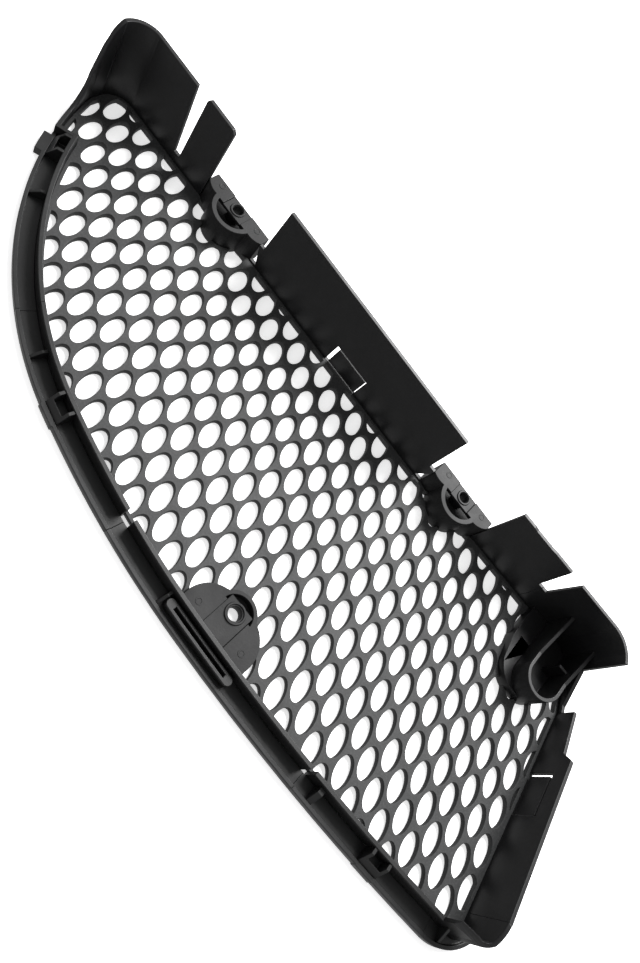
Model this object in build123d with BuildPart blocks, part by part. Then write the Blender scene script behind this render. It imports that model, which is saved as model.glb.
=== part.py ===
"""Front bumper side grille, seen from its mounting side: a flat oval-hole mesh inside a ring of
flanges, a curved lower rail with snap-in catches, three screw ears and a guide socket.

The panel lies face down: X along the long upper flange, Y across the panel towards that flange,
Z out of the mounting side. The origin is the middle of the outline, on the visible face.
"""
from build123d import *
import math
import os

os.makedirs("parts", exist_ok=True)

# ---- overall outline ----
LEFT_X = -221.0  # outer face of the rounded left wing
UPPER_Y = 79.8  # outer face of the long upper flange
FLANGE_T = 2.2
MESH_T = 3.5
UPPER_IN = UPPER_Y - FLANGE_T

# ---- lower rail: outer edge is one run of tangent arcs, radius then turn ----
RAIL_START_Y = 58.3
RAIL_HEADING = -73.6
RAIL_ARCS = ((183.6, 58.7), (568.0, 11.6), (1288.0, 7.9))
RAIL_CORNER_R = 26.0
RAIL_CORNER_TURN = 64.0
RAIL_W = 12.0  # outer edge of the lip to the mesh side of the wall
RAIL_WALL_H = 12.0
LIP_T = 2.5
BEAD_W = 2.0
BEAD_H = 2.0
CHANNEL_X = -210.0  # where the channel starts below the left wing
NOTCH_X = -34.5
NOTCH_W = 6.0
SLIT_X = 106.0
SLIT_W = 3.0
LIP_SPLIT_X = -139.0

# ---- oval mesh holes, staggered and leaning ----
HOLE_LONG = 17.2
HOLE_SHORT = 9.2
ROW_PITCH = 19.1  # between neighbours side by side
COLUMN_PITCH = 20.8  # between neighbours end to end
HOLE_LEAN = 14.2  # degrees from straight across the panel
HOLE_ORIGIN = (-40.5, 24.9)
MESH_BORDER = 1.8
SMALLEST_HOLE = 9.0  # mm2, cut-off ovals smaller than this are left solid

# ---- flanges ----
UPPER_H = 51.5
UPPER_INSET_0 = 3.0  # how far the flange stands back from the first ear above it
UPPER_INSET_1 = 4.0
UPPER_SLANT = 1.2  # extra at the top of that end
RELIEF_W = 4.5
RELIEF_H = 8.0
TAB_X0 = -170.0
TAB_H = 54.0
WING_FOOT_X = -172.0
FOOT_H = 9.0
SLOT_TOP_W = 8.5
SLOT_FOOT_W = 4.0
WING_H = 53.0
WING_R = 14.0
WING_END_H = 9.0
MID_END = (165.0, 85.6)
MID_IN = 82.2  # mesh side of the middle flange where it leaves the ear
MID_H = 48.5
MID_DIP = 0.4
MID_X1 = 128.5
SLOT2_X = 131.5
SLOT2_Z = 23.0
WING2_X0 = 134.5
WING2_TOP_X0 = 137.0
WING2_H = 48.0
WING2_END = (181.0, 76.0)
WING2_CUT = 26.0  # direction of the joint face there, degrees
END_TOP = (191.5, 55.0)
END_TOP_CUT = 20.6
END_BOTTOM = (211.5, -58.5)
END_BOTTOM_CUT = -5.0
END_LOW_H = 16.0
END_H = 29.3
END_HIGH_H = 33.3
CORNER_WALL_H = 18.0
CORNER_LOW_H = 7.0
CORNER_FOOT_L = 11.0  # straight wall past the end of the rail, before the tight inner corner
CORNER_SIDE_L = 10.0  # end flange past its lower mark, before the same corner
CORNER_BULGE = 0.2
CORNER_ROUND = 15.0  # across the panel, how far the top of the end flange takes to round down

# ---- snap tongues ----
TONGUE_L = 22.5
TONGUE_UPPER_W = 12.5
TONGUE_END_W = 15.0
TONGUE_GAP = 1.2
TONGUE_END_GAP = 2.0
TONGUE_ROOT_GAP = 0.35
TONGUE_Z = 4.6
TONGUE_ROOT_X = -15.0
TONGUE_END_ROOT_Y = -6.8
TOOTH_H = 1.8
TOOTH_L = 5.0
TOOTH_W = 8.0

# ---- screw ears ----
EAR_W = 43.0
EAR1_OUT_Y = 85.1
EAR2_OUT_Y = 88.3
EAR_H = 18.0
EAR_BELL_W = 26.0
EAR_DEPTH = 12.4
EAR_SHOULDER = 0.9
EAR_NECK = 2.0
EAR_BOW = 1.2  # how far the concave sides of the bell bow in
EAR_WALL = 2.0
EAR_PLATE_T = 2.5
EAR_FLOOR_Z = 8.0
EAR_FLOOR_T = 2.0
EAR1_X = -127.8
EAR2_X = 66.6
POCKET_R = 10.4
SEAT_W = 14.0
SEAT_DROP = 0.6
SEAT_L = 9.6
POCKET_SHIFT = 0.6
SEAT_HOLE_R = 2.75
RING_R = 4.2
RING_W = 1.1
RING_H = 0.7
SEAT_FROM_EDGE = 4.6

# ---- lower ear, standing in the mesh beside the rail ----
EAR3_X = 31.0
EAR3_W = 45.0
EAR3_BELL_W = 20.0
EAR3_SHOULDER = 7.0
EAR3_NECK = 22.0
EAR3_REACH = 28.0
EAR3_H = 6.0
EAR3_HOLE_UP = 17.0  # screw hole above the rail wall
EAR3_HOLE_R = 3.5
EAR3_POCKET_R = 9.0
EAR3_RING_R = 5.4
EAR3_FLOOR = 1.5
EAR3_SEAT_W = 15.0

# ---- guide socket and its base ----
SOCKET_X0 = 153.0
SOCKET_X1 = 177.0
SOCKET_BOTTOM_Y = 38.0
SOCKET_H = 21.0
SOCKET_HIGH_H = 28.0  # at the right wing
SOCKET_RISE_Y = 58.0  # where its rim starts to rise
SOCKET_WALL = 2.0
SOCKET_FLOOR = 3.5
BASE_X0 = 141.5
BASE_H = 8.0
BASE_WINDOW = (149.6, 61.2)
BASE_WINDOW_W = 6.5
SOCKET_RIB_H = 14.0
SOCKET_RIB_Y = 66.0
SOCKET_RIB_L = 6.0

# ---- catches and ribs in the rail channel ----
CATCH_L = 12.0
CATCH_WALL = 1.8
CATCH_GAP = 0.2  # to the curved bead
CATCH_FLOOR = 1.5
CATCH_H = 9.0
CATCH_X = {"left": -205.0, "lower": -91.2, "right": 157.3}
CATCH_LUG = {"left": 3.5, "lower": 0.6, "right": 0.4}  # how far the lip steps out at each catch
RIB_X = (-187.6, -117.8, 4.0)
RIB_T = 1.6
RIB_H = 5.5
END_GUSSET_TURN = 20.0
GUIDE_X0 = 8.0
GUIDE_X1 = 50.0
GUIDE_H = 8.5
GUIDE_SLOT_W = 1.8
GUIDE_RIB_T = 1.6
GUIDE_SHARE = 0.57  # share of the spare channel width left between the bead and the guide

UPPER_X0 = EAR1_X + EAR_W / 2
UPPER_X1 = EAR2_X - EAR_W / 2
TAB_X1 = EAR1_X - EAR_W / 2
MID_START = (EAR2_X + EAR_W / 2, MID_IN)
RAIL_RUN = RAIL_ARCS + ((RAIL_CORNER_R, RAIL_CORNER_TURN),)
RAIL_END = sum(sweep for _, sweep in RAIL_RUN)


def rail_place(turn, inset=0.0):
    """Point on the rail once its edge has turned this far, and the direction it runs there."""
    x = LEFT_X
    y = RAIL_START_Y
    heading = RAIL_HEADING
    left = turn
    for radius, sweep in RAIL_RUN:
        step = min(left, sweep)
        a = math.radians(heading)
        b = math.radians(heading + step)
        x += radius * (math.sin(b) - math.sin(a))
        y += radius * (math.cos(a) - math.cos(b))
        heading += step
        left -= step
    c = math.radians(heading)
    return x - inset * math.sin(c), y + inset * math.cos(c), heading


def turn_at(x):
    """How far the rail edge has turned when it reaches this X."""
    low = 0.0
    high = RAIL_END
    for _ in range(40):
        middle = (low + high) / 2
        if rail_place(middle)[0] < x:
            low = middle
        else:
            high = middle
    return low


def rail_edge(inset, t0=0.0, t1=RAIL_END):
    """Arcs of the rail outline between two turns, moved inwards by inset."""
    passed = 0.0
    for radius, sweep in RAIL_RUN:
        a = max(t0, passed)
        b = min(t1, passed + sweep)
        if b - a > 0.001:
            x, y, heading = rail_place(a, inset)
            c = math.radians(heading)
            JernArc((x, y), (math.cos(c), math.sin(c)), radius - inset, b - a)
        passed += sweep


def rail_point(turn, inset):
    """Plan point of the rail."""
    x, y, _ = rail_place(turn, inset)
    return x, y


def rail_band(outer, inner, t0, t1):
    """Plan of a strip of the rail between two insets and two turns, ends square to it."""
    with BuildSketch() as band:
        with BuildLine():
            rail_edge(outer, t0, t1)
            rail_edge(inner, t0, t1)
            Line(rail_point(t0, outer), rail_point(t0, inner))
            Line(rail_point(t1, outer), rail_point(t1, inner))
        make_face()
    return band.sketch


CHANNEL_TURN = turn_at(CHANNEL_X)
SPLIT_TURN = turn_at(LIP_SPLIT_X)
NOTCH_TURN = turn_at(NOTCH_X)
SLIT_TURN = turn_at(SLIT_X)
CORNER_TURN = RAIL_END - RAIL_CORNER_TURN
EAR3_BASE_Y = rail_place(turn_at(EAR3_X), RAIL_W)[1]


def wing2_mid():
    """Middle of the rounded end of the right wing, bulging outwards."""
    x = (MID_END[0] + WING2_END[0]) / 2
    y = (MID_END[1] + WING2_END[1]) / 2
    return x + 1.8, y + 2.2


def spoke(point, angle, reach):
    """Point reached from another one in a direction given in degrees."""
    a = math.radians(angle)
    return point[0] + reach * math.cos(a), point[1] + reach * math.sin(a)


def inner_corner():
    """Start, middle and end of the tight corner between the rail wall and the end flange."""
    along = rail_place(CORNER_TURN)[2]
    down = math.degrees(math.atan2(END_BOTTOM[1] - END_TOP[1], END_BOTTOM[0] - END_TOP[0]))
    foot = spoke(rail_point(CORNER_TURN, RAIL_W), along, CORNER_FOOT_L)
    side = spoke(END_BOTTOM, down, CORNER_SIDE_L)
    dx = side[0] - foot[0]
    dy = side[1] - foot[1]
    middle = (
        (foot[0] + side[0]) / 2 + CORNER_BULGE * dy,
        (foot[1] + side[1]) / 2 - CORNER_BULGE * dx,
    )
    return foot, middle, side


def inside_plan():
    """Plan of everything inside the flanges and the rail wall."""
    with BuildSketch() as plan:
        with BuildLine():
            Line((UPPER_X1, UPPER_IN), (LEFT_X + WING_R, UPPER_IN))
            CenterArc((LEFT_X + WING_R, UPPER_Y - WING_R), WING_R - FLANGE_T, 90.0, 90.0)
            Line((LEFT_X + FLANGE_T, UPPER_Y - WING_R), rail_point(0.0, FLANGE_T))
            rail_edge(FLANGE_T, 0.0, CHANNEL_TURN)
            Line(rail_point(CHANNEL_TURN, FLANGE_T), rail_point(CHANNEL_TURN, RAIL_W))
            rail_edge(RAIL_W, CHANNEL_TURN, CORNER_TURN)
            foot, middle, side = inner_corner()
            Line(rail_point(CORNER_TURN, RAIL_W), foot)
            ThreePointArc(foot, middle, side)
            Polyline(side, END_BOTTOM, END_TOP, WING2_END)
            ThreePointArc(WING2_END, wing2_mid(), MID_END)
            Polyline(MID_END, MID_START, (UPPER_X1, UPPER_IN))
        make_face()
    return plan.sketch


def ear_plan(x, left_y, right_y, outer_y):
    """Bell-shaped plan of an upper ear: a wide straight outer edge and a round inner end."""
    half = EAR_W / 2
    bell = EAR_BELL_W / 2
    left = (x - half, left_y + EAR_SHOULDER)
    right = (x + half, right_y + EAR_SHOULDER)
    middle = (left_y + right_y) / 2
    neck_l = (x - bell, middle - EAR_NECK)
    neck_r = (x + bell, middle - EAR_NECK)
    bow_l = ((left[0] + neck_l[0]) / 2 - EAR_BOW, (left[1] + neck_l[1]) / 2 - EAR_BOW / 2)
    bow_r = ((right[0] + neck_r[0]) / 2 + EAR_BOW, (right[1] + neck_r[1]) / 2 - EAR_BOW / 2)
    with BuildSketch() as plan:
        with BuildLine():
            Polyline(left, (x - half, outer_y), (x + half, outer_y), right)
            ThreePointArc(left, bow_l, neck_l)
            ThreePointArc(neck_l, (x, middle - EAR_DEPTH), neck_r)
            ThreePointArc(neck_r, bow_r, right)
        make_face()
    return plan.sketch


def lower_ear_plan():
    """Dome-shaped plan of the lower ear, standing on the mesh side of the rail wall."""
    half = EAR3_W / 2
    bell = EAR3_BELL_W / 2
    foot = EAR3_BASE_Y - 5.0
    side = EAR3_BASE_Y + EAR3_SHOULDER
    neck = EAR3_BASE_Y + EAR3_NECK
    top = EAR3_BASE_Y + EAR3_REACH
    x = EAR3_X
    with BuildSketch() as plan:
        with BuildLine():
            Polyline((x - half, side), (x - half, foot), (x + half, foot), (x + half, side))
            ThreePointArc((x - half, side), (x - half + 3.6, side + 9.2), (x - bell, neck))
            ThreePointArc((x - bell, neck), (x, top), (x + bell, neck))
            ThreePointArc((x + bell, neck), (x + half - 3.6, side + 9.2), (x + half, side))
        make_face()
        add(inside_plan(), mode=Mode.INTERSECT)
    return plan.sketch


def base_plan():
    """Plan of the pad under the guide socket."""
    r = (SOCKET_X1 - SOCKET_X0) / 2
    top = UPPER_Y + 20.0
    with BuildSketch() as plan:
        with BuildLine():
            Polyline((BASE_X0 + 4.0, SOCKET_BOTTOM_Y + 9.0), (BASE_X0, 62.0), (BASE_X0, top))
            Polyline((BASE_X0, top), (SOCKET_X1, top), (SOCKET_X1, SOCKET_BOTTOM_Y + r))
            ThreePointArc(
                (SOCKET_X1, SOCKET_BOTTOM_Y + r),
                (SOCKET_X0 + r, SOCKET_BOTTOM_Y),
                (BASE_X0 + 4.0, SOCKET_BOTTOM_Y + 9.0),
            )
        make_face()
        add(inside_plan(), mode=Mode.INTERSECT)
    return plan.sketch


def socket_plan(inset=0.0):
    """U-shaped plan of the guide socket, open towards the right wing."""
    r = (SOCKET_X1 - SOCKET_X0) / 2 - inset
    x = (SOCKET_X0 + SOCKET_X1) / 2
    y = SOCKET_BOTTOM_Y + r + inset
    with BuildSketch() as plan:
        with BuildLine():
            Polyline((x - r, y), (x - r, UPPER_Y + 20.0), (x + r, UPPER_Y + 20.0), (x + r, y))
            ThreePointArc((x - r, y), (x, y - r), (x + r, y))
        make_face()
        add(inside_plan(), mode=Mode.INTERSECT)
    return plan.sketch


def hole_places():
    """Centres of the staggered ovals."""
    a = math.radians(HOLE_LEAN)
    places = []
    for i in range(-26, 27):
        for j in range(-14, 15):
            if (i + j) % 2 == 0:
                p = i * ROW_PITCH / 2
                q = j * COLUMN_PITCH / 2
                x = HOLE_ORIGIN[0] + p * math.cos(a) - q * math.sin(a)
                y = HOLE_ORIGIN[1] + p * math.sin(a) + q * math.cos(a)
                places.append((x, y))
    return places


def ring_plan(points):
    """Plan of the flange wall just outside the inside plan, cut to a polygon."""
    with BuildSketch() as plan:
        add(RING)
        with BuildLine():
            Polyline(*points, close=True)
        make_face(mode=Mode.INTERSECT)
    return plan.sketch


def prism(sketch, z0, z1):
    """Upright prism of a plan between two heights."""
    with BuildPart() as body:
        with BuildSketch(Plane.XY.offset(z0)):
            add(sketch)
        extrude(amount=z1 - z0)
    return body.part


def side_cut(points, y0, y1):
    """Prism of an outline drawn along the panel and up, reaching from y0 to y1."""
    with BuildPart() as body:
        with BuildSketch(Plane.XZ.offset(-y1)):
            with BuildLine():
                Polyline(*points, close=True)
            make_face()
        extrude(amount=y1 - y0)
    return body.part


def end_cut(points, x0, x1):
    """Prism of an outline drawn across the panel and up, reaching from x0 to x1."""
    with BuildPart() as body:
        with BuildSketch(Plane.YZ.offset(x0)):
            with BuildLine():
                Polyline(*points, close=True)
            make_face()
        extrude(amount=x1 - x0)
    return body.part


def rail_plane(turn, z=0.0):
    """Plane across the rail channel: its x runs in towards the mesh and its y runs up."""
    x, y, heading = rail_place(turn)
    c = math.radians(heading)
    return Plane(
        origin=(x, y, z),
        x_dir=(-math.sin(c), math.cos(c), 0),
        z_dir=(math.cos(c), math.sin(c), 0),
    )


with BuildSketch() as ring:
    add(inside_plan())
    offset(amount=FLANGE_T, kind=Kind.INTERSECTION)
    add(inside_plan(), mode=Mode.SUBTRACT)
RING = ring.sketch

with BuildSketch() as walled:
    add(inside_plan())
    offset(amount=FLANGE_T, kind=Kind.INTERSECTION)
WALLED = walled.sketch

EAR1_PLAN = ear_plan(EAR1_X, UPPER_IN, UPPER_IN, EAR1_OUT_Y)
EAR2_PLAN = ear_plan(EAR2_X, UPPER_IN, MID_IN, EAR2_OUT_Y)
WALL_INSET = RAIL_W - FLANGE_T
GUIDE_SPARE = WALL_INSET - BEAD_W - 2 * GUIDE_RIB_T - GUIDE_SLOT_W
GUIDE_IN = BEAD_W + GUIDE_SHARE * GUIDE_SPARE  # outer edge of the lip to the first guide rib
CAP_TURN = CHANNEL_TURN + math.degrees(FLANGE_T / RAIL_ARCS[0][0])
BEYOND = 20.0


# ---- mesh panel ----
with BuildSketch() as panel_plan:
    add(inside_plan())
    add(EAR1_PLAN, mode=Mode.SUBTRACT)
    add(EAR2_PLAN, mode=Mode.SUBTRACT)
    add(lower_ear_plan(), mode=Mode.SUBTRACT)
    add(base_plan(), mode=Mode.SUBTRACT)
    add(socket_plan(), mode=Mode.SUBTRACT)

with BuildSketch() as border:
    add(inside_plan())
    offset(amount=-MESH_BORDER, kind=Kind.TANGENT)

with BuildSketch() as holes:
    with Locations(*hole_places()):
        Ellipse(HOLE_SHORT / 2, HOLE_LONG / 2, rotation=HOLE_LEAN)
    add(border.sketch, mode=Mode.INTERSECT)
    add(EAR1_PLAN, mode=Mode.SUBTRACT)
    add(EAR2_PLAN, mode=Mode.SUBTRACT)
    add(lower_ear_plan(), mode=Mode.SUBTRACT)
    add(base_plan(), mode=Mode.SUBTRACT)

with BuildPart() as mesh_panel:
    add(panel_plan.sketch)
    extrude(amount=MESH_T)
    with BuildSketch():
        add([face for face in holes.faces() if face.area > SMALLEST_HOLE])
    extrude(amount=MESH_T, mode=Mode.SUBTRACT)
mesh_panel.part.label = "mesh_panel"
export_step(mesh_panel.part, "parts/mesh_panel.step")


# ---- left wing, with the cap that closes the channel below it ----
def wing_end():
    """What is trimmed off the free end of the left wing, drawn across the panel and up."""
    top = WING_H + 1.0
    with BuildPart() as body:
        with BuildSketch(Plane.YZ.offset(LEFT_X - 1.0)):
            with BuildLine():
                Polyline((10.0, WING_END_H), (10.0, top), (69.0, top))
                ThreePointArc((69.0, top), (63.5, WING_H - 2.5), (60.5, WING_H - 8.5))
                Line((60.5, WING_H - 8.5), (52.5, 24.0))
                ThreePointArc((52.5, 24.0), (48.5, 13.5), (40.0, WING_END_H))
                Line((40.0, WING_END_H), (10.0, WING_END_H))
            make_face()
        extrude(amount=30.0)
    return body.part


cap_out = rail_point(CAP_TURN, -BEYOND)
cap_in = rail_point(CAP_TURN, RAIL_W + 3.0)
with BuildPart() as left_wing:
    with BuildSketch():
        add(
            ring_plan(
                (
                    (WING_FOOT_X, UPPER_Y + BEYOND),
                    (LEFT_X - BEYOND, UPPER_Y + BEYOND),
                    (LEFT_X - BEYOND, cap_out[1]),
                    cap_out,
                    cap_in,
                    (WING_FOOT_X, UPPER_IN - 30.0),
                )
            )
        )
    extrude(amount=WING_H)
    add(wing_end(), mode=Mode.SUBTRACT)
    add(
        side_cut(
            (
                (WING_FOOT_X + 1.0, FOOT_H),
                (TAB_X0 - SLOT_FOOT_W, FOOT_H),
                (TAB_X0 - SLOT_TOP_W, WING_H + 1.0),
                (WING_FOOT_X + 1.0, WING_H + 1.0),
            ),
            UPPER_IN - 1.0,
            UPPER_Y + 1.0,
        ),
        mode=Mode.SUBTRACT,
    )
left_wing.part.label = "left_wing"
export_step(left_wing.part, "parts/left_wing.step")

# ---- narrow tab between the slot and the first ear ----
with BuildPart() as left_tab:
    add(
        side_cut(
            (
                (WING_FOOT_X, 0.0),
                (TAB_X1, 0.0),
                (TAB_X1, TAB_H - 2.0),
                (TAB_X1 - 2.0, TAB_H),
                (TAB_X0 + 1.5, TAB_H),
                (TAB_X0, TAB_H - 2.0),
                (TAB_X0, FOOT_H),
                (WING_FOOT_X, FOOT_H),
            ),
            UPPER_IN,
            UPPER_Y,
        )
    )
left_tab.part.label = "left_tab"
export_step(left_tab.part, "parts/left_tab.step")

# ---- long upper flange with the window for its snap tongue ----
WINDOW_Z0 = TONGUE_Z - TONGUE_GAP
UPPER_WINDOW_Z1 = TONGUE_Z + TONGUE_UPPER_W + TONGUE_GAP
END_WINDOW_Z1 = TONGUE_Z + TONGUE_END_W + TONGUE_GAP
window_l = TONGUE_L + TONGUE_END_GAP
with BuildPart() as upper_flange:
    add(
        side_cut(
            (
                (UPPER_X0, 0.0),
                (UPPER_X1, 0.0),
                (UPPER_X1, EAR_H),
                (UPPER_X1 - UPPER_INSET_1, EAR_H),
                (UPPER_X1 - UPPER_INSET_1 - UPPER_SLANT, UPPER_H),
                (UPPER_X0 + UPPER_INSET_0, UPPER_H),
                (UPPER_X0 + UPPER_INSET_0, EAR_H),
                (UPPER_X0, EAR_H),
                (UPPER_X0, FOOT_H + RELIEF_H),
                (UPPER_X0 + RELIEF_W, WINDOW_Z0 + 1.0),
                (UPPER_X0, WINDOW_Z0 + 1.0),
            ),
            UPPER_IN,
            UPPER_Y,
        )
    )
    with BuildSketch(Plane.XZ.offset(-UPPER_Y)):
        with Locations((TONGUE_ROOT_X - window_l / 2, (WINDOW_Z0 + UPPER_WINDOW_Z1) / 2)):
            Rectangle(window_l, UPPER_WINDOW_Z1 - WINDOW_Z0)
    extrude(amount=FLANGE_T, mode=Mode.SUBTRACT)
    add(
        side_cut(
            (
                (UPPER_X1 + 1.0, WINDOW_Z0 + 1.0),
                (UPPER_X1 - RELIEF_W, WINDOW_Z0 + 1.0),
                (UPPER_X1 + 1.0, FOOT_H + RELIEF_H),
            ),
            UPPER_IN - 1.0,
            UPPER_Y + 1.0,
        ),
        mode=Mode.SUBTRACT,
    )
upper_flange.part.label = "upper_flange"
export_step(upper_flange.part, "parts/upper_flange.step")

# ---- middle flange ----
with BuildPart() as middle_flange:
    with BuildSketch():
        add(
            ring_plan(
                (
                    (MID_START[0], MID_IN - 8.0),
                    (MID_START[0], MID_IN + 8.0),
                    (SLOT2_X, MID_IN + 12.0),
                    (SLOT2_X, MID_IN - 4.0),
                )
            )
        )
    extrude(amount=MID_H)
    add(
        side_cut(
            (
                (MID_X1, SLOT2_Z),
                (SLOT2_X + 1.0, SLOT2_Z),
                (SLOT2_X + 1.0, MID_H + 1.0),
                (MID_X1 - 1.5, MID_H + 1.0),
                (MID_X1 - 1.0, MID_H),
            ),
            MID_IN - 8.0,
            MID_IN + 12.0,
        ),
        mode=Mode.SUBTRACT,
    )
    add(
        side_cut(
            (
                (MID_START[0] + 3.0, MID_H + 1.0),
                (MID_START[0] + 11.0, MID_H - MID_DIP),
                (MID_START[0] + 23.0, MID_H - MID_DIP),
                (MID_X1 - 5.0, MID_H + 1.0),
            ),
            MID_IN - 8.0,
            MID_IN + 12.0,
        ),
        mode=Mode.SUBTRACT,
    )
middle_flange.part.label = "middle_flange"
export_step(middle_flange.part, "parts/middle_flange.step")

# ---- right wing, straight and then rounding the corner ----
with BuildPart() as right_wing:
    with BuildSketch():
        add(
            ring_plan(
                (
                    (SLOT2_X, MID_IN - 4.0),
                    (SLOT2_X, MID_IN + 12.0),
                    (WING2_END[0] + 6.0, MID_IN + 12.0),
                    spoke(WING2_END, WING2_CUT, 10.0),
                    spoke(WING2_END, WING2_CUT, -6.0),
                )
            )
        )
    extrude(amount=WING2_H)
    add(
        side_cut(
            (
                (SLOT2_X - 1.0, SLOT2_Z),
                (WING2_X0, SLOT2_Z),
                (WING2_TOP_X0, WING2_H + 1.0),
                (SLOT2_X - 1.0, WING2_H + 1.0),
            ),
            MID_IN - 8.0,
            MID_IN + 12.0,
        ),
        mode=Mode.SUBTRACT,
    )
right_wing.part.label = "right_wing"
export_step(right_wing.part, "parts/right_wing.step")

# ---- low wall joining the right wing to the end flange ----
with BuildPart() as corner_wall:
    with BuildSketch():
        add(
            ring_plan(
                (
                    spoke(WING2_END, WING2_CUT, -6.0),
                    spoke(WING2_END, WING2_CUT, 10.0),
                    spoke(END_TOP, END_TOP_CUT, 10.0),
                    spoke(END_TOP, END_TOP_CUT, -6.0),
                )
            )
        )
    extrude(amount=CORNER_WALL_H)
    add(
        end_cut(
            (
                (WING2_END[1] + 4.0, CORNER_WALL_H + 1.0),
                (END_TOP[1] + 4.0, CORNER_LOW_H),
                (END_TOP[1] - 4.0, CORNER_LOW_H),
                (END_TOP[1] - 4.0, CORNER_WALL_H + 1.0),
            ),
            WING2_END[0] - 10.0,
            END_TOP[0] + 10.0,
        ),
        mode=Mode.SUBTRACT,
    )
corner_wall.part.label = "corner_wall"
export_step(corner_wall.part, "parts/corner_wall.step")

# ---- end flange with the window for its snap tongue ----
with BuildPart() as end_flange:
    with BuildSketch():
        add(
            ring_plan(
                (
                    spoke(END_TOP, END_TOP_CUT, -6.0),
                    spoke(END_TOP, END_TOP_CUT, 10.0),
                    spoke(END_BOTTOM, END_BOTTOM_CUT, 10.0),
                    spoke(END_BOTTOM, END_BOTTOM_CUT, -6.0),
                )
            )
        )
    extrude(amount=END_HIGH_H)
    add(
        end_cut(
            (
                (END_TOP[1] + 4.0, END_LOW_H),
                (END_TOP[1] - 26.0, END_LOW_H + 6.0),
                (END_TOP[1] - 30.0, END_H),
                (END_BOTTOM[1] - 1.0, END_HIGH_H),
                (END_BOTTOM[1] - 1.0, END_HIGH_H + 5.0),
                (END_TOP[1] + 4.0, END_HIGH_H + 5.0),
            ),
            END_TOP[0] - 10.0,
            END_BOTTOM[0] + 10.0,
        ),
        mode=Mode.SUBTRACT,
    )
    add(
        end_cut(
            (
                (TONGUE_END_ROOT_Y, WINDOW_Z0),
                (TONGUE_END_ROOT_Y + window_l, WINDOW_Z0),
                (TONGUE_END_ROOT_Y + window_l, END_WINDOW_Z1),
                (TONGUE_END_ROOT_Y, END_WINDOW_Z1),
            ),
            END_TOP[0] - 10.0,
            END_BOTTOM[0] + 10.0,
        ),
        mode=Mode.SUBTRACT,
    )
end_flange.part.label = "end_flange"
export_step(end_flange.part, "parts/end_flange.step")

# ---- rounded lower corner of the end flange ----
corner_start = rail_point(CORNER_TURN, RAIL_W)
with BuildPart() as end_corner:
    with BuildSketch():
        add(
            ring_plan(
                (
                    spoke(END_BOTTOM, END_BOTTOM_CUT, -6.0),
                    spoke(END_BOTTOM, END_BOTTOM_CUT, 10.0),
                    (END_BOTTOM[0] + 10.0, corner_start[1] - 6.0),
                    rail_point(CORNER_TURN, RAIL_W - 6.0),
                    rail_point(CORNER_TURN, RAIL_W + 4.0),
                )
            )
        )
    extrude(amount=END_HIGH_H)
    with BuildSketch(Plane.YZ.offset(corner_start[0] - BEYOND)):
        with BuildLine():
            low = (END_BOTTOM[1] - CORNER_ROUND, RAIL_WALL_H)
            high = (END_BOTTOM[1] + 1.0, END_HIGH_H)
            ThreePointArc(low, (low[0] + 3.6, high[1] - 6.2), high)
            Polyline(high, (high[0], high[1] + 5.0), (low[0] - BEYOND, high[1] + 5.0))
            Polyline((low[0] - BEYOND, high[1] + 5.0), (low[0] - BEYOND, low[1]), low)
        make_face()
    extrude(amount=3 * BEYOND, mode=Mode.SUBTRACT)
end_corner.part.label = "end_corner"
export_step(end_corner.part, "parts/end_corner.step")

# ---- rail wall beside the mesh, in four lengths parted by the notch and the slit ----
notch_half = math.degrees(NOTCH_W / 2 / RAIL_ARCS[1][0])
slit_half = math.degrees(SLIT_W / 2 / RAIL_ARCS[2][0])
WALL_RUNS = {
    "rail_wall_left": (CAP_TURN, SPLIT_TURN),
    "rail_wall_lower": (SPLIT_TURN, NOTCH_TURN - notch_half),
    "rail_wall_middle": (NOTCH_TURN + notch_half, SLIT_TURN - slit_half),
    "rail_wall_right": (SLIT_TURN + slit_half, CORNER_TURN),
}
for name, (t0, t1) in WALL_RUNS.items():
    wall = prism(rail_band(WALL_INSET, RAIL_W, t0, t1), 0.0, RAIL_WALL_H)
    wall.label = name
    export_step(wall, "parts/" + name + ".step")

# ---- rail lip with its raised outer bead ----
LIP_RUNS = {
    "rail_lip_left": (CAP_TURN, SPLIT_TURN),
    "rail_lip_lower": (SPLIT_TURN, NOTCH_TURN),
    "rail_lip_middle": (NOTCH_TURN, SLIT_TURN),
    "rail_lip_right": (SLIT_TURN, CORNER_TURN),
    "rail_lip_end": (CORNER_TURN, RAIL_END),
}
for name, (t0, t1) in LIP_RUNS.items():
    with BuildPart() as lip:
        add(prism(rail_band(0.0, WALL_INSET, t0, t1), 0.0, LIP_T))
        add(prism(rail_band(0.0, BEAD_W, t0, t1), LIP_T, LIP_T + BEAD_H))
        for place, x in CATCH_X.items():
            heading = rail_place(turn_at(x))[2]
            half = CATCH_L / 2 * math.cos(math.radians(heading))
            a = turn_at(x - half)
            b = turn_at(x + half)
            if t0 < a and b < t1:
                add(prism(rail_band(-CATCH_LUG[place], BEAD_W, a, b), 0.0, LIP_T + BEAD_H))
        if name == "rail_lip_end":
            add(prism(WALLED, 0.0, LIP_T + BEAD_H), mode=Mode.SUBTRACT)
    lip.part.label = name
    export_step(lip.part, "parts/" + name + ".step")


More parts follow.
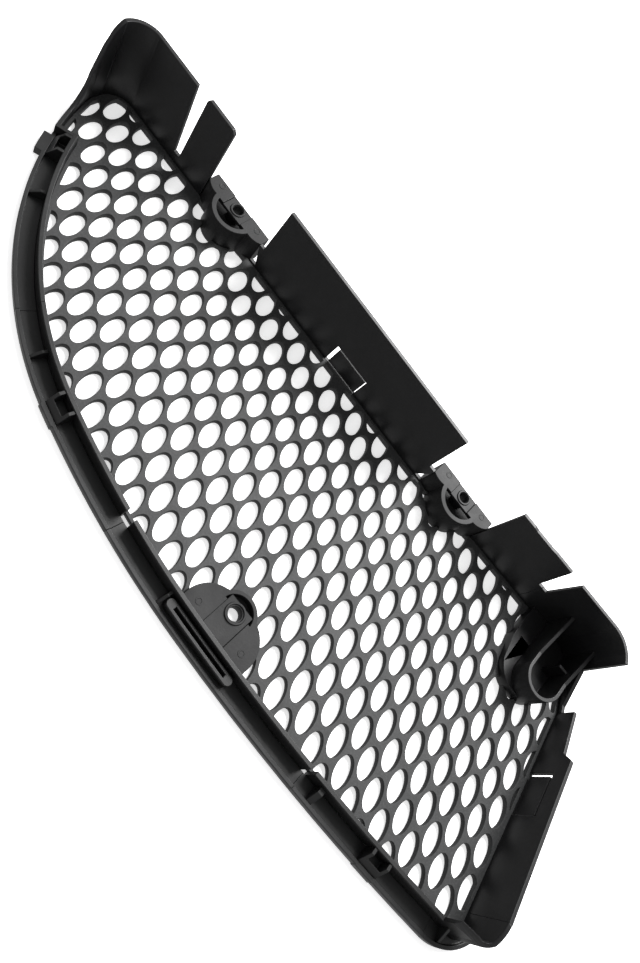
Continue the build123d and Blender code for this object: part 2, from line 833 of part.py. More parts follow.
# ---- snap-in catches standing in the channel ----
def catch(turn):
    """Hollow wedge across the channel, low at the outer bead and high at the rail wall."""
    with BuildPart() as body:
        with BuildSketch(rail_plane(turn, LIP_T)):
            with BuildLine():
                Polyline(
                    (BEAD_W + CATCH_GAP, 0.0),
                    (WALL_INSET, 0.0),
                    (WALL_INSET, CATCH_H),
                    (WALL_INSET - 3.2, CATCH_H),
                    (BEAD_W + CATCH_GAP, BEAD_H),
                    close=True,
                )
            make_face()
        extrude(amount=CATCH_L / 2, both=True)
        with BuildSketch(rail_plane(turn, LIP_T)):
            with BuildLine():
                Polyline(
                    (BEAD_W + 2.6, CATCH_FLOOR),
                    (WALL_INSET, CATCH_FLOOR),
                    (WALL_INSET, CATCH_H + 1.0),
                    (BEAD_W + 2.6, CATCH_H + 1.0),
                    close=True,
                )
            make_face()
        extrude(amount=CATCH_L / 2 - CATCH_WALL, both=True, mode=Mode.SUBTRACT)
    return body.part


for place, x in CATCH_X.items():
    piece = catch(turn_at(x))
    piece.label = "catch_" + place
    export_step(piece, "parts/catch_" + place + ".step")


# ---- thin ribs across the channel ----
def rib(turn, height, thickness=RIB_T):
    """Thin web across the channel, sloping down to the bead."""
    with BuildPart() as body:
        with BuildSketch(rail_plane(turn, LIP_T)):
            with BuildLine():
                Polyline(
                    (BEAD_W, 0.0),
                    (WALL_INSET, 0.0),
                    (WALL_INSET, height),
                    (WALL_INSET - 3.0, height),
                    (BEAD_W, BEAD_H),
                    close=True,
                )
            make_face()
        extrude(amount=thickness / 2, both=True)
    return body.part


with BuildPart() as channel_ribs:
    for x in RIB_X:
        add(rib(turn_at(x), RIB_H))
channel_ribs.part.label = "channel_ribs"
export_step(channel_ribs.part, "parts/channel_ribs.step")

with BuildPart() as slit_hook:
    add(rib(SLIT_TURN + 0.45, CATCH_H - LIP_T, 2 * RIB_T))
slit_hook.part.label = "slit_hook"
export_step(slit_hook.part, "parts/slit_hook.step")

with BuildPart() as end_gusset:
    with BuildSketch(rail_plane(CORNER_TURN + END_GUSSET_TURN, LIP_T)):
        with BuildLine():
            Polyline(
                (BEAD_W + CATCH_GAP, 0.0),
                (WALL_INSET, 0.0),
                (WALL_INSET, CATCH_H),
                (BEAD_W + CATCH_GAP, BEAD_H),
                close=True,
            )
        make_face()
    extrude(amount=RIB_T / 2, both=True)
    add(prism(WALLED, 0.0, CATCH_H + LIP_T + 1.0), mode=Mode.SUBTRACT)
end_gusset.part.label = "end_gusset"
export_step(end_gusset.part, "parts/end_gusset.step")

# ---- twin guide ribs with round ends, beside the lower ear ----
g0 = turn_at(GUIDE_X0)
g1 = turn_at(GUIDE_X1)
with BuildPart() as clip_guide:
    add(prism(rail_band(GUIDE_IN, GUIDE_IN + GUIDE_RIB_T, g0, g1), LIP_T, GUIDE_H))
    inner_rib = GUIDE_IN + GUIDE_RIB_T + GUIDE_SLOT_W
    add(prism(rail_band(inner_rib, inner_rib + GUIDE_RIB_T, g0, g1), LIP_T, GUIDE_H))
    with BuildSketch(Plane.XY.offset(LIP_T)):
        with Locations(
            rail_point(g0, GUIDE_IN + GUIDE_RIB_T + GUIDE_SLOT_W / 2),
            rail_point(g1, GUIDE_IN + GUIDE_RIB_T + GUIDE_SLOT_W / 2),
        ):
            Circle(GUIDE_RIB_T + GUIDE_SLOT_W / 2)
    extrude(amount=GUIDE_H - LIP_T)
clip_guide.part.label = "clip_guide"
export_step(clip_guide.part, "parts/clip_guide.step")


# ---- upper screw ears: bell wall, plate with a half-round pocket, and the nut seat ----
def ear(plan, x, inner_y, outer_y):
    """Hollow ear open on its outer side and underneath, with a pocket floor halfway up."""
    plate_z = EAR_H - EAR_PLATE_T
    seat_y = outer_y - SEAT_L
    with BuildSketch() as hollow:
        add(plan)
        offset(amount=-EAR_WALL)
        with BuildLine():
            Polyline(
                (x - EAR_W / 2 + EAR_WALL, outer_y - EAR_WALL - 0.5),
                (x + EAR_W / 2 - EAR_WALL, outer_y - EAR_WALL - 0.5),
                (x + EAR_W / 2 - EAR_WALL, outer_y + 1.0),
                (x - EAR_W / 2 + EAR_WALL, outer_y + 1.0),
                close=True,
            )
        make_face()
    with BuildPart() as body:
        add(prism(plan, 0.0, EAR_H))
        add(prism(hollow.sketch, 0.0, EAR_FLOOR_Z), mode=Mode.SUBTRACT)
        add(prism(hollow.sketch, EAR_FLOOR_Z + EAR_FLOOR_T, plate_z), mode=Mode.SUBTRACT)
        with BuildSketch(Plane.XY.offset(plate_z)):
            with Locations((x, inner_y + POCKET_SHIFT)):
                Circle(POCKET_R)
            with Locations((x, seat_y + POCKET_R)):
                Rectangle(2 * POCKET_R, 2 * POCKET_R, mode=Mode.SUBTRACT)
            with Locations((x, (seat_y + outer_y) / 2)):
                Rectangle(SEAT_W, outer_y - seat_y)
        extrude(amount=EAR_PLATE_T, mode=Mode.SUBTRACT)
        with Locations((x, outer_y - SEAT_FROM_EDGE, EAR_FLOOR_Z + EAR_FLOOR_T / 2)):
            Cylinder(SEAT_HOLE_R, EAR_FLOOR_T, mode=Mode.SUBTRACT)
    return body.part


def nut_seat(x, outer_y):
    """Slightly sunk strip with a ringed screw hole, carried on a round boss."""
    top = EAR_H - SEAT_DROP
    floor = EAR_FLOOR_Z + EAR_FLOOR_T
    with BuildPart() as body:
        with BuildSketch(Plane.XY.offset(EAR_H - EAR_PLATE_T)):
            with Locations((x, outer_y - SEAT_L / 2)):
                Rectangle(SEAT_W, SEAT_L)
        extrude(amount=EAR_PLATE_T - SEAT_DROP)
        with Locations((x, outer_y - SEAT_FROM_EDGE, 0.0)):
            with Locations((0.0, 0.0, floor)):
                Cylinder(RING_R, top - floor, align=(Align.CENTER, Align.CENTER, Align.MIN))
            with Locations((0.0, 0.0, top)):
                Cylinder(RING_R, RING_H, align=(Align.CENTER, Align.CENTER, Align.MIN))
                Cylinder(
                    RING_R - RING_W,
                    RING_H,
                    align=(Align.CENTER, Align.CENTER, Align.MIN),
                    mode=Mode.SUBTRACT,
                )
            with Locations((0.0, 0.0, floor)):
                Cylinder(
                    SEAT_HOLE_R,
                    top - floor,
                    align=(Align.CENTER, Align.CENTER, Align.MIN),
                    mode=Mode.SUBTRACT,
                )
    return body.part


left_ear = ear(EAR1_PLAN, EAR1_X, UPPER_IN, EAR1_OUT_Y)
left_ear.label = "ear_left"
export_step(left_ear, "parts/ear_left.step")
left_seat = nut_seat(EAR1_X, EAR1_OUT_Y)
left_seat.label = "nut_seat_left"
export_step(left_seat, "parts/nut_seat_left.step")
middle_ear = ear(EAR2_PLAN, EAR2_X, (UPPER_IN + MID_IN) / 2, EAR2_OUT_Y)
middle_ear.label = "ear_middle"
export_step(middle_ear, "parts/ear_middle.step")
middle_seat = nut_seat(EAR2_X, EAR2_OUT_Y)
middle_seat.label = "nut_seat_middle"
export_step(middle_seat, "parts/nut_seat_middle.step")

# ---- lower ear: pad standing in the mesh, with its own nut seat ----
hole3 = (EAR3_X, EAR3_BASE_Y + EAR3_HOLE_UP)
seat3_top = hole3[1] + EAR3_RING_R
with BuildSketch() as seat3_plan:
    with Locations((EAR3_X, (EAR3_BASE_Y - 5.0 + seat3_top) / 2)):
        Rectangle(EAR3_SEAT_W, seat3_top - EAR3_BASE_Y + 5.0)
    add(inside_plan(), mode=Mode.INTERSECT)
with BuildPart() as ear_lower:
    add(prism(lower_ear_plan(), 0.0, EAR3_H))
    with BuildSketch(Plane.XY.offset(EAR3_FLOOR)):
        with Locations(hole3):
            Circle(EAR3_POCKET_R)
        with Locations((EAR3_X, hole3[1] - EAR3_POCKET_R + 1.5)):
            Rectangle(3 * EAR3_POCKET_R, 2 * EAR3_POCKET_R, mode=Mode.SUBTRACT)
    extrude(amount=EAR3_H, mode=Mode.SUBTRACT)
    with BuildSketch():
        add(seat3_plan.sketch)
    extrude(amount=EAR3_H, mode=Mode.SUBTRACT)
ear_lower.part.label = "ear_lower"
export_step(ear_lower.part, "parts/ear_lower.step")

with BuildPart() as nut_seat_lower:
    add(prism(seat3_plan.sketch, 0.0, EAR3_H - SEAT_DROP))
    with Locations((hole3[0], hole3[1], EAR3_H - SEAT_DROP)):
        Cylinder(EAR3_RING_R, RING_H, align=(Align.CENTER, Align.CENTER, Align.MIN))
        Cylinder(
            EAR3_RING_R - RING_W,
            RING_H,
            align=(Align.CENTER, Align.CENTER, Align.MIN),
            mode=Mode.SUBTRACT,
        )
    with Locations((hole3[0], hole3[1], 0.0)):
        Cylinder(
            EAR3_HOLE_R,
            EAR3_H,
            align=(Align.CENTER, Align.CENTER, Align.MIN),
            mode=Mode.SUBTRACT,
        )
nut_seat_lower.part.label = "nut_seat_lower"
export_step(nut_seat_lower.part, "parts/nut_seat_lower.step")

# ---- guide socket and the pad beside it ----
with BuildPart() as socket_base:
    with BuildSketch():
        add(base_plan())
        add(socket_plan(), mode=Mode.SUBTRACT)
        with Locations(BASE_WINDOW):
            Rectangle(BASE_WINDOW_W, BASE_WINDOW_W, mode=Mode.SUBTRACT)
    extrude(amount=BASE_H)
socket_base.part.label = "socket_base"
export_step(socket_base.part, "parts/socket_base.step")

with BuildPart() as guide_socket:
    add(prism(socket_plan(), 0.0, SOCKET_HIGH_H))
    add(prism(socket_plan(SOCKET_WALL), SOCKET_FLOOR, SOCKET_HIGH_H), mode=Mode.SUBTRACT)
    add(
        end_cut(
            (
                (SOCKET_BOTTOM_Y - 1.0, SOCKET_H),
                (SOCKET_RISE_Y, SOCKET_H),
                (MID_END[1], SOCKET_HIGH_H),
                (MID_END[1], SOCKET_HIGH_H + 1.0),
                (SOCKET_BOTTOM_Y - 1.0, SOCKET_HIGH_H + 1.0),
            ),
            SOCKET_X0 - 1.0,
            SOCKET_X1 + 1.0,
        ),
        mode=Mode.SUBTRACT,
    )
guide_socket.part.label = "guide_socket"
export_step(guide_socket.part, "parts/guide_socket.step")

with BuildPart() as socket_rib:
    with BuildSketch(Plane.XY.offset(SOCKET_FLOOR)):
        with Locations((SOCKET_X1 - SOCKET_WALL - SOCKET_RIB_L / 2, SOCKET_RIB_Y)):
            Rectangle(SOCKET_RIB_L, RIB_T)
    extrude(amount=SOCKET_RIB_H)
socket_rib.part.label = "socket_rib"
export_step(socket_rib.part, "parts/socket_rib.step")

# ---- snap tongues, each with a tooth on its outer face near the free end ----
UPPER_TOOTH_Z = TONGUE_Z + (TONGUE_UPPER_W - TOOTH_W) / 2
with BuildPart() as snap_tongue_upper:
    with BuildSketch(Plane.XZ.offset(-UPPER_Y)):
        with Locations((TONGUE_ROOT_X - (TONGUE_L + TONGUE_ROOT_GAP) / 2, TONGUE_Z + TONGUE_UPPER_W / 2)):
            Rectangle(TONGUE_L - TONGUE_ROOT_GAP, TONGUE_UPPER_W)
    extrude(amount=FLANGE_T)
    free = TONGUE_ROOT_X - TONGUE_L
    with BuildSketch(Plane.XY.offset(UPPER_TOOTH_Z)):
        with BuildLine():
            Polyline(
                (free + 2.0, UPPER_Y),
                (free + 2.0 + TOOTH_L, UPPER_Y),
                (free + 2.0 + TOOTH_L, UPPER_Y + TOOTH_H),
                close=True,
            )
        make_face()
    extrude(amount=TOOTH_W)
snap_tongue_upper.part.label = "snap_tongue_upper"
export_step(snap_tongue_upper.part, "parts/snap_tongue_upper.step")

flange_angle = math.degrees(math.atan2(END_TOP[1] - END_BOTTOM[1], END_TOP[0] - END_BOTTOM[0]))
root_along = (TONGUE_END_ROOT_Y - END_BOTTOM[1]) / math.sin(math.radians(flange_angle))
root = spoke(END_BOTTOM, flange_angle, root_along)
tongue_plane = Plane(
    origin=(root[0], root[1], TONGUE_Z),
    x_dir=spoke((0.0, 0.0), flange_angle, 1.0) + (0.0,),
    z_dir=(0, 0, 1),
)
with BuildPart() as snap_tongue_end:
    with BuildSketch(tongue_plane):
        with Locations(((TONGUE_L + TONGUE_ROOT_GAP) / 2, -FLANGE_T / 2)):
            Rectangle(TONGUE_L - TONGUE_ROOT_GAP, FLANGE_T)
    extrude(amount=TONGUE_END_W)
    with BuildSketch(tongue_plane.offset((TONGUE_END_W - TOOTH_W) / 2)):
        with BuildLine():
            Polyline(
                (TONGUE_L - 2.0, -FLANGE_T),
                (TONGUE_L - 2.0 - TOOTH_L, -FLANGE_T),
                (TONGUE_L - 2.0 - TOOTH_L, -FLANGE_T - TOOTH_H),
                close=True,
            )
        make_face()
    extrude(amount=TOOTH_W)
snap_tongue_end.part.label = "snap_tongue_end"
export_step(snap_tongue_end.part, "parts/snap_tongue_end.step")
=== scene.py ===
"""Front bumper side grille: edges, finishes, ejector pin marks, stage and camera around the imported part."""

import math

import bpy
import numpy as np
from bpy.props import FloatProperty, FloatVectorProperty, PointerProperty
from mathutils import Matrix, Vector


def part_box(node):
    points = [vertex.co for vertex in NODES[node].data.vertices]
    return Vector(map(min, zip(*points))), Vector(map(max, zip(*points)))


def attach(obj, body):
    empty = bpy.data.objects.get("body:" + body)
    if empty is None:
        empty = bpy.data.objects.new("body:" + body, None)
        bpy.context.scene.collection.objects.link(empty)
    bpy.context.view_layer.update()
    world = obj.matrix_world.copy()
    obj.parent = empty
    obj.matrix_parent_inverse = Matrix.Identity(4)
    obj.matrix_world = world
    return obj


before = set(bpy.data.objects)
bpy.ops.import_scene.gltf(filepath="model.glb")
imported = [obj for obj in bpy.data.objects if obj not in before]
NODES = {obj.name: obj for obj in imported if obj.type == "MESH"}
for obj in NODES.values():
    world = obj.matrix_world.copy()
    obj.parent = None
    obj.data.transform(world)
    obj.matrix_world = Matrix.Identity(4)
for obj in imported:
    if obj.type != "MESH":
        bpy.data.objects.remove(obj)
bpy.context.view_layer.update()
MOULDING = "moulding"
MM = 0.001

# widths of the surface patterns, in metres
FLOW_WIDTH = 0.05
SPECKLE_PER_GRAIN = 1.7
SCUFF_WIDTH = 0.012
SHEEN_WIDTH = 0.02
SHEEN_SPREAD = 0.07
SWELL_WIDTH = 0.03
SWELL_PER_GRAIN = 3.0
# Painted edge highlight and wear: the band along edges reaches this far in
WEAR_AND_HIGHLIGHT_REACH = 0.0006  # how far wear reaches in from an edge
PLASTIC_IOR = 1.49

# edge rounding
WELD_REACH = 1e-6
FLAT_ANGLE = 0.5  # degrees, faces closer than this in direction are merged
SHARP_ANGLE = 35.0  # degrees, edges sharper than this are rounded
EDGE_SEGMENTS = 2

# ejector pin marks
PIN_SEGMENTS = 40
PIN_SPOTS = (0.16, 0.84)  # shares of the ear's width
PIN_ROWS = (("ear_left", -3.2), ("ear_middle", -3.2), ("ear_lower", 8.0))  # mm in from the outer or the rail edge

# stage
FLOOR_HALF = 6.0
FLOOR_DROP = 0.0001
KEY_PLACE = (0.15, 0.95, 1.0)
KEY_SIZE = 0.9
SENSOR_WIDTH = 36.0
CAMERA_RIGHT = Vector((0.61289, 0.63547, 0.46963))
CAMERA_UP = Vector((-0.78744, 0.54056, 0.29621))
CAMERA_PLACE = (-0.017249, -0.204617, 0.350812)

bl_info = {
    "name": "Bumper Grille Finisher",
    "version": (1, 0, 0),
    "blender": (4, 5, 0),
    "location": "3D View > Sidebar > Grille",
    "description": "Rounds, grains and stages a moulded bumper side grille",
    "category": "Object",
}

MESH_NODES = ("mesh_panel",)
PLATE_NODES = ("ear_left", "ear_middle", "ear_lower", "nut_seat_left", "nut_seat_middle", "nut_seat_lower")
RAIL_WORDS = ("rail_", "catch_", "channel_", "slit_", "end_gusset", "clip_guide")


class GrilleFinish(bpy.types.PropertyGroup):
    """Colours and surface of the moulded plastic; the flange, mesh and ear plate colours are painted shaded and
    lit tones of one black plastic.
    """

    # Painted shade: a darker tone of the same black plastic as the mesh, for the shaded flange walls
    flange_shaded_colour: FloatVectorProperty(
        name="Flange colour",
        description="Plastic of the flanges and wings",
        subtype="COLOR",
        size=3,
        min=0.0,
        max=1.0,
        default=(0.008, 0.008, 0.0085),
    )
    # Painted light: a lighter tone of the same black plastic as the flanges, for the lit upward faces of the mesh
    mesh_lit_colour: FloatVectorProperty(
        name="Mesh colour",
        description="Plastic of the oval-hole mesh",
        subtype="COLOR",
        size=3,
        min=0.0,
        max=1.0,
        default=(0.030, 0.0305, 0.031),
    )
    rail_colour: FloatVectorProperty(
        name="Rail colour",
        description="Plastic of the curved rail and its catches",
        subtype="COLOR",
        size=3,
        min=0.0,
        max=1.0,
        default=(0.0065, 0.0066, 0.0068),
    )
    # Painted shade: the mesh's black plastic darkened for the ear plates
    plate_shaded_colour: FloatVectorProperty(
        name="Ear plate colour",
        description="Plastic of the screw ears",
        subtype="COLOR",
        size=3,
        min=0.0,
        max=1.0,
        default=(0.009, 0.009, 0.0093),
    )
    edge_radius: FloatProperty(
        name="Edge radius",
        description="Radius that the mould leaves on every outer edge",
        subtype="DISTANCE",
        unit="LENGTH",
        min=0.0,
        max=0.001,
        default=0.00028,
        precision=5,
    )
    pin_radius: FloatProperty(
        name="Pin mark radius",
        description="Radius of the round pads left by the ejector pins",
        subtype="DISTANCE",
        unit="LENGTH",
        min=0.0005,
        max=0.004,
        default=0.0019,
        precision=5,
    )
    pin_height: FloatProperty(
        name="Pin mark height",
        description="Height of those pads above the ear",
        subtype="DISTANCE",
        unit="LENGTH",
        min=0.00005,
        max=0.0005,
        default=0.00018,
        precision=5,
    )
    grain_size: FloatProperty(
        name="Grain size",
        description="Width of one grain of the eroded mould surface",
        subtype="DISTANCE",
        unit="LENGTH",
        min=0.0001,
        max=0.003,
        default=0.0007,
        precision=5,
    )


class GrilleStage(bpy.types.PropertyGroup):
    """Floor, lights and camera."""

    floor_colour: FloatVectorProperty(
        name="Floor colour",
        description="Colour of the pale floor",
        subtype="COLOR",
        size=3,
        min=0.0,
        max=1.0,
        default=(0.95, 0.95, 0.95),
    )
    floor_glow: FloatProperty(
        name="Floor glow",
        description="Light of the floor itself, which keeps the shadows on it pale",
        min=0.0,
        default=0.55,
    )
    key_power: FloatProperty(
        name="Key light",
        description="Power of the large soft light above",
        subtype="POWER",
        unit="POWER",
        min=0.0,
        default=50.0,
    )
    fill: FloatProperty(name="Fill", description="Strength of the light from all round", min=0.0, default=0.6)
    lens: FloatProperty(
        name="Lens",
        description="Focal length of the camera",
        subtype="DISTANCE_CAMERA",
        min=10.0,
        default=30.39,
    )


def finish():
    """The finish settings of this scene."""
    return bpy.context.scene.grille_finish


# ---- materials ----


class Nodes:
    """A short hand for the node tree of one material."""

    def __init__(self, name):
        self.material = bpy.data.materials.new(name)
        self.material.use_nodes = True
        self.tree = self.material.node_tree
        self.shader = self.tree.nodes["Principled BSDF"]
        self.place = self.add("ShaderNodeTexCoord").outputs["Object"]

    def add(self, kind, **settings):
        """New node with its settings and input values."""
        node = self.tree.nodes.new(kind)
        for key, value in settings.items():
            if hasattr(node, key):
                setattr(node, key, value)
            else:
                socket = node.inputs[key.replace("_", " ").title()]
                if isinstance(value, bpy.types.NodeSocket):
                    self.join(value, socket)
                else:
                    socket.default_value = value
        return node

    def join(self, out, into):
        """Link two sockets."""
        self.tree.links.new(out, into)

    def noise(self, size, detail=2.0, roughness=0.5, stretch=None):
        """Cloudy noise whose blobs are about this wide, in metres."""
        place = self.place
        if stretch:
            mapping = self.add("ShaderNodeMapping")
            mapping.inputs["Scale"].default_value = stretch
            self.join(place, mapping.inputs["Vector"])
            place = mapping.outputs["Vector"]
        node = self.add("ShaderNodeTexNoise", Scale=1.0 / size, Detail=detail, Roughness=roughness)
        self.join(place, node.inputs["Vector"])
        return node.outputs["Fac"]

    def ramp(self, factor, low, high, low_colour, high_colour):
        """Colours spread between two values of a factor."""
        node = self.add("ShaderNodeValToRGB")
        self.join(factor, node.inputs["Fac"])
        node.color_ramp.elements[0].position = low
        node.color_ramp.elements[1].position = high
        node.color_ramp.elements[0].color = (*low_colour, 1.0)
        node.color_ramp.elements[1].color = (*high_colour, 1.0)
        return node.outputs["Color"]

    def spread(self, factor, low, high, to_low, to_high):
        """Value remapped from one range to another."""
        node = self.add("ShaderNodeMapRange")
        self.join(factor, node.inputs["Value"])
        for name, value in (("From Min", low), ("From Max", high), ("To Min", to_low), ("To Max", to_high)):
            node.inputs[name].default_value = value
        return node.outputs["Result"]

    def mix(self, factor, first, second):
        """Blend of two colours."""
        node = self.add("ShaderNodeMix", data_type="RGBA")
        self.join(factor, node.inputs["Factor"])
        for value, socket in ((first, node.inputs[6]), (second, node.inputs[7])):
            if isinstance(value, bpy.types.NodeSocket):
                self.join(value, socket)
            else:
                socket.default_value = (*value, 1.0)
        return node.outputs[2]

    def math(self, operation, first, second):
        """One arithmetic step."""
        node = self.add("ShaderNodeMath", operation=operation)
        for value, socket in ((first, node.inputs[0]), (second, node.inputs[1])):
            if isinstance(value, bpy.types.NodeSocket):
                self.join(value, socket)
            else:
                socket.default_value = value
        return node.outputs[0]

    def edges(self, radius):
        """1 along outer edges and 0 on flat faces: how far a rounded normal leaves the true one."""
        rounded = self.add("ShaderNodeBevel", samples=4)
        rounded.inputs["Radius"].default_value = radius
        true = self.add("ShaderNodeNewGeometry")
        dot = self.add("ShaderNodeVectorMath", operation="DOT_PRODUCT")
        self.join(rounded.outputs["Normal"], dot.inputs[0])
        self.join(true.outputs["True Normal"], dot.inputs[1])
        return self.spread(dot.outputs["Value"], 0.98, 0.75, 0.0, 1.0)

    def bump(self, height, depth, after=None):
        """Bumps of a height pattern, this deep in metres."""
        node = self.add("ShaderNodeBump")
        node.inputs["Strength"].default_value = 1.0
        node.inputs["Distance"].default_value = depth
        self.join(height, node.inputs["Height"])
        if after is not None:
            self.join(after, node.inputs["Normal"])
        return node.outputs["Normal"]


def moulded_plastic(name, colour, grain, depth, rough, mottle, edge_light, gloss=0.5):
    """Moulded plastic: base colour with flow marks, edges scaled by edge_light where scuffs fall (lighter edges
    are partly wear and partly painted highlight), eroded grain, uneven sheen.
    """
    n = Nodes(name)
    colour = tuple(colour)
    flow = n.noise(FLOW_WIDTH, 3.0, 0.55, (1.0, 2.2, 1.0))
    specks = n.noise(grain * SPECKLE_PER_GRAIN, 2.0, 0.6)
    dark = tuple(c * (1.0 - mottle) for c in colour)
    light = tuple(c * (1.0 + mottle) for c in colour)
    base = n.ramp(flow, 0.3, 0.7, dark, light)
    speckled = n.ramp(specks, 0.35, 0.7, tuple(c * 0.55 for c in colour), tuple(c * 1.6 for c in colour))
    base = n.mix(n.spread(specks, 0.2, 0.8, 0.15, 0.65), base, speckled)
    # Painted edge highlight mixed with scuff wear: edges scaled by edge_light, patchy where scuffs fall; below one
    # it darkens them
    scuffs = n.noise(SCUFF_WIDTH, 6.0, 0.7)
    worn_and_highlit = n.math("MULTIPLY", n.edges(WEAR_AND_HIGHLIGHT_REACH), n.spread(scuffs, 0.3, 0.65, 0.25, 1.0))
    base = n.mix(worn_and_highlit, base, tuple(c * edge_light for c in colour))
    n.join(base, n.shader.inputs["Base Color"])
    patches = n.noise(SHEEN_WIDTH, 4.0, 0.6)
    sheen = n.spread(patches, 0.3, 0.7, rough - SHEEN_SPREAD, rough + SHEEN_SPREAD)
    n.join(sheen, n.shader.inputs["Roughness"])
    normal = n.bump(n.noise(grain, 3.0, 0.6), depth)
    normal = n.bump(n.noise(SWELL_WIDTH, 2.0, 0.5), depth * SWELL_PER_GRAIN, normal)
    n.join(normal, n.shader.inputs["Normal"])
    n.shader.inputs["Specular IOR Level"].default_value = gloss
    n.shader.inputs["IOR"].default_value = PLASTIC_IOR
    return n.material


def flange_plastic():
    """Satin black of the flanges, its colour darkened to paint the shade on the walls that face away from the
    light.
    """
    f = finish()
    return moulded_plastic("flange_plastic", f.flange_shaded_colour, f.grain_size, 0.00002, 0.42, 0.2, 4.0, 0.35)


def mesh_plastic():
    """Grained charcoal of the mesh faces: a lighter tone of the same black plastic, painting the light that the
    upward faces catch.
    """
    f = finish()
    return moulded_plastic("mesh_plastic", f.mesh_lit_colour, f.grain_size, 0.00006, 0.6, 0.15, 0.5, 0.3)


def rail_plastic():
    """Smoother black of the rail channel."""
    f = finish()
    return moulded_plastic("rail_plastic", f.rail_colour, f.grain_size * 1.3, 0.00002, 0.4, 0.3, 3.0, 0.4)


def plate_plastic():
    """Grained charcoal of the ear plates, darkened from the mesh tone of the same plastic to paint the shade on
    the plates.
    """
    f = finish()
    return moulded_plastic("plate_plastic", f.plate_shaded_colour, f.grain_size, 0.00004, 0.55, 0.12, 3.0, 0.25)


# ---- edges and materials of the mouldings ----


def round_edges(obj, radius):
    """Weld the loose triangles, clear the flat faces and round every outer edge."""
    weld = obj.modifiers.new("weld", "WELD")
    weld.merge_threshold = WELD_REACH
    flat = obj.modifiers.new("flat", "DECIMATE")
    flat.decimate_type = "DISSOLVE"
    flat.angle_limit = math.radians(FLAT_ANGLE)
    bevel = obj.modifiers.new("edges", "BEVEL")
    bevel.width = radius
    bevel.segments = EDGE_SEGMENTS
    bevel.limit_method = "ANGLE"
    bevel.angle_limit = math.radians(SHARP_ANGLE)
    bevel.use_clamp_overlap = False
    bevel.harden_normals = True


def set_material(obj, material):
    """Give the whole object one material."""
    obj.data.materials.clear()
    obj.data.materials.append(material)


def material_for(name, made):
    """Finish of a node by its kind."""
    if name in MESH_NODES:
        return made["mesh"]
    if name in PLATE_NODES:
        return made["plate"]
    if name.startswith(RAIL_WORDS):
        return made["rail"]
    return made["flange"]


class FinishMouldings(bpy.types.Operator):
    """Round the edges of every moulded node and give it its plastic"""

    bl_idname = "grille.finish_mouldings"
    bl_label = "Finish Mouldings"

    def execute(self, context):
        """Give each CAD node its edge radius and material."""
        made = {
            "flange": flange_plastic(),
            "mesh": mesh_plastic(),
            "rail": rail_plastic(),
            "plate": plate_plastic(),
        }
        for name, obj in NODES.items():
            set_material(obj, material_for(name, made))
            round_edges(obj, finish().edge_radius)
        return {"FINISHED"}


# ---- small round marks left by the mould's ejector pins ----


def lathe(profile, count):
    """Closed surface of revolution about Z.

    Point k of ring i is (r_i cos t_k, r_i sin t_k, z_i) with t_k = 2 pi k / count. The first and last
    profile points lie on the axis.
    """
    t = np.arange(count) * 2.0 * math.pi / count
    r = profile[1:-1, 0][:, None]
    z = profile[1:-1, 1][:, None]
    rings = np.stack((r * np.cos(t), r * np.sin(t), z + 0.0 * t), -1).reshape(-1, 3)
    points = np.vstack(([[0.0, 0.0, profile[0, 1]]], rings, [[0.0, 0.0, profile[-1, 1]]]))
    here = np.arange(count)
    after = (here + 1) % count
    start = np.arange(len(profile) - 3)[:, None] * count + 1
    top = 1 + (len(profile) - 3) * count
    below = np.stack((0 * here, 1 + after, 1 + here), -1)
    sides = np.stack((start + here, start + after, start + count + after, start + count + here), -1).reshape(-1, 4)
    above = np.stack((top + here, top + after, np.full(count, len(points) - 1)), -1)
    return points, (below, sides, above)


def repeated(name, shape, places, material):
    """One mesh object holding a copy of a shape at every place: each point is the shape's point plus the place."""
    points, parts = shape
    places = np.asarray(places)
    shifts = np.arange(len(places))[:, None, None] * len(points)
    faces = []
    for part in parts:
        faces += (part[None] + shifts).reshape(-1, part.shape[1]).tolist()
    mesh = bpy.data.meshes.new(name)
    mesh.from_pydata((points[None] + places[:, None]).reshape(-1, 3).tolist(), [], faces)
    mesh.materials.append(material)
    obj = bpy.data.objects.new(name, mesh)
    bpy.context.scene.collection.objects.link(obj)
    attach(obj, MOULDING)
    return obj


class AddPinMarks(bpy.types.Operator):
    """Add the low round pads that ejector pins leave on the three screw ears"""

    bl_idname = "grille.add_pin_marks"
    bl_label = "Add Pin Marks"

    def execute(self, context):
        """Put a dished pad near each outer corner of every ear."""
        f = finish()
        r = f.pin_radius
        h = f.pin_height
        profile = np.array(
            ((0.0, -h), (r, -h), (r, h * 0.6), (r - 0.4 * h, h), (r * 0.72, h), (r * 0.6, h * 0.3), (0.0, h * 0.3))
        )
        shape = lathe(profile, PIN_SEGMENTS)
        for name, inset in PIN_ROWS:
            low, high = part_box(name)
            y = (high[1] if inset < 0.0 else low[1]) + inset * MM
            places = [(low[0] + part * (high[0] - low[0]), y, high[2]) for part in PIN_SPOTS]
            repeated("pin_marks_" + name, shape, places, bpy.data.materials["plate_plastic"])
        return {"FINISHED"}


# ---- stage ----


def aim(obj, target):
    """Turn an object so that it looks at a point."""
    obj.rotation_euler = (Vector(target) - obj.location).to_track_quat("-Z", "Y").to_euler()


def soft_light(name, place, target, size, power):
    """Square soft light looking at a point."""
    light = bpy.data.lights.new(name, "AREA")
    light.shape = "SQUARE"
    light.size = size
    light.energy = power
    obj = bpy.data.objects.new(name, light)
    bpy.context.scene.collection.objects.link(obj)
    obj.location = place
    aim(obj, target)
    return obj


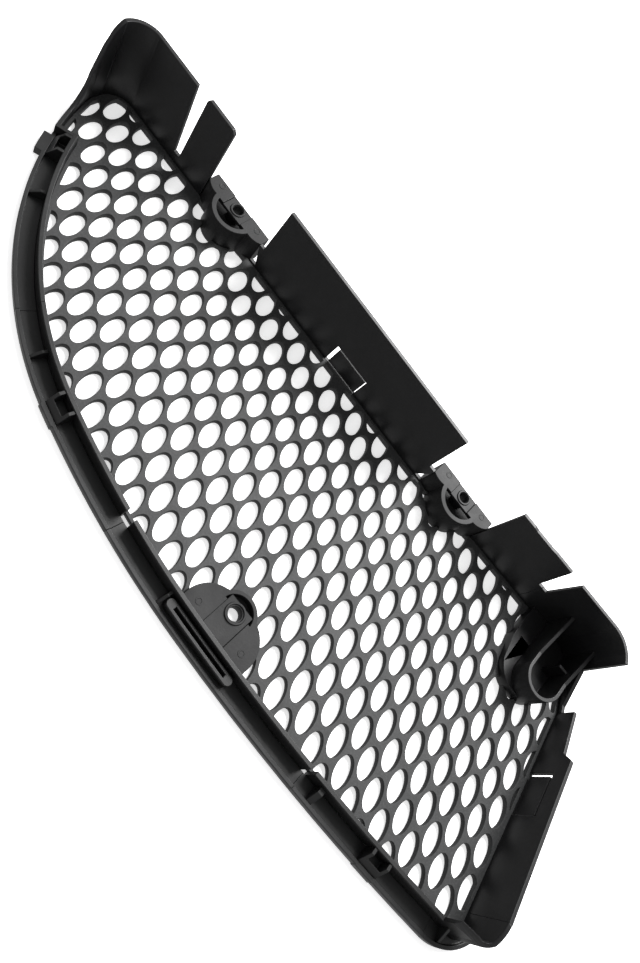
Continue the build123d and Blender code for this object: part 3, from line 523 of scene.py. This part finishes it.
class SetStage(bpy.types.Operator):
    """Lay the floor, hang the lights and place the camera"""

    bl_idname = "grille.set_stage"
    bl_label = "Set Stage"

    def execute(self, context):
        """Make the floor, lights, world and camera."""
        s = context.scene.grille_stage
        mesh = bpy.data.meshes.new("floor")
        half = FLOOR_HALF
        corners = [(-half, -half, 0.0), (half, -half, 0.0), (half, half, 0.0), (-half, half, 0.0)]
        mesh.from_pydata(corners, [], [(0, 1, 2, 3)])
        floor = bpy.data.objects.new("floor", mesh)
        context.scene.collection.objects.link(floor)
        matt = bpy.data.materials.new("floor_matt")
        matt.use_nodes = True
        shader = matt.node_tree.nodes["Principled BSDF"]
        shader.inputs["Base Color"].default_value = (*s.floor_colour, 1.0)
        shader.inputs["Roughness"].default_value = 0.9
        shader.inputs["Specular IOR Level"].default_value = 0.0
        shader.inputs["Emission Color"].default_value = (1.0, 1.0, 1.0, 1.0)
        shader.inputs["Emission Strength"].default_value = s.floor_glow
        mesh.materials.append(matt)
        floor.location.z = -FLOOR_DROP
        floor.visible_diffuse = False
        floor.visible_glossy = False
        soft_light("key", KEY_PLACE, (0.0, 0.0, 0.0), KEY_SIZE, s.key_power)
        world = bpy.data.worlds.new("studio")
        context.scene.world = world
        world.use_nodes = True
        world.node_tree.nodes["Background"].inputs["Color"].default_value = (1.0, 1.0, 1.0, 1.0)
        world.node_tree.nodes["Background"].inputs["Strength"].default_value = s.fill
        context.scene.view_settings.view_transform = "Standard"
        camera = bpy.data.cameras.new("camera")
        camera.sensor_width = SENSOR_WIDTH
        camera.lens = s.lens
        obj = bpy.data.objects.new("camera", camera)
        context.scene.collection.objects.link(obj)
        back = CAMERA_RIGHT.cross(CAMERA_UP)
        turn = Matrix((CAMERA_RIGHT, CAMERA_UP, back)).transposed().to_4x4()
        obj.matrix_world = Matrix.Translation(CAMERA_PLACE) @ turn
        context.scene.camera = obj
        return {"FINISHED"}


class GrillePanel(bpy.types.Panel):
    """Sidebar panel that lists the settings and the steps"""

    bl_idname = "VIEW3D_PT_grille"
    bl_label = "Bumper Grille"
    bl_space_type = "VIEW_3D"
    bl_region_type = "UI"
    bl_category = "Grille"

    def draw(self, context):
        """Show each setting, then a button for each step."""
        for group in (context.scene.grille_finish, context.scene.grille_stage):
            box = self.layout.box()
            for name in group.__annotations__:
                box.prop(group, name)
        for step in STEPS:
            self.layout.operator(step.bl_idname)


STEPS = (FinishMouldings, AddPinMarks, SetStage)
CLASSES = (GrilleFinish, GrilleStage, *STEPS, GrillePanel)


def register():
    """Add the classes and the scene settings."""
    for cls in CLASSES:
        bpy.utils.register_class(cls)
    bpy.types.Scene.grille_finish = PointerProperty(type=GrilleFinish)
    bpy.types.Scene.grille_stage = PointerProperty(type=GrilleStage)


def unregister():
    """Remove the settings and the classes."""
    del bpy.types.Scene.grille_stage
    del bpy.types.Scene.grille_finish
    for cls in reversed(CLASSES):
        bpy.utils.unregister_class(cls)


def main():
    """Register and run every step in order."""
    register()
    for step in STEPS:
        group, name = step.bl_idname.split(".")
        getattr(getattr(bpy.ops, group), name)()


if __name__ == "__main__":
    main()
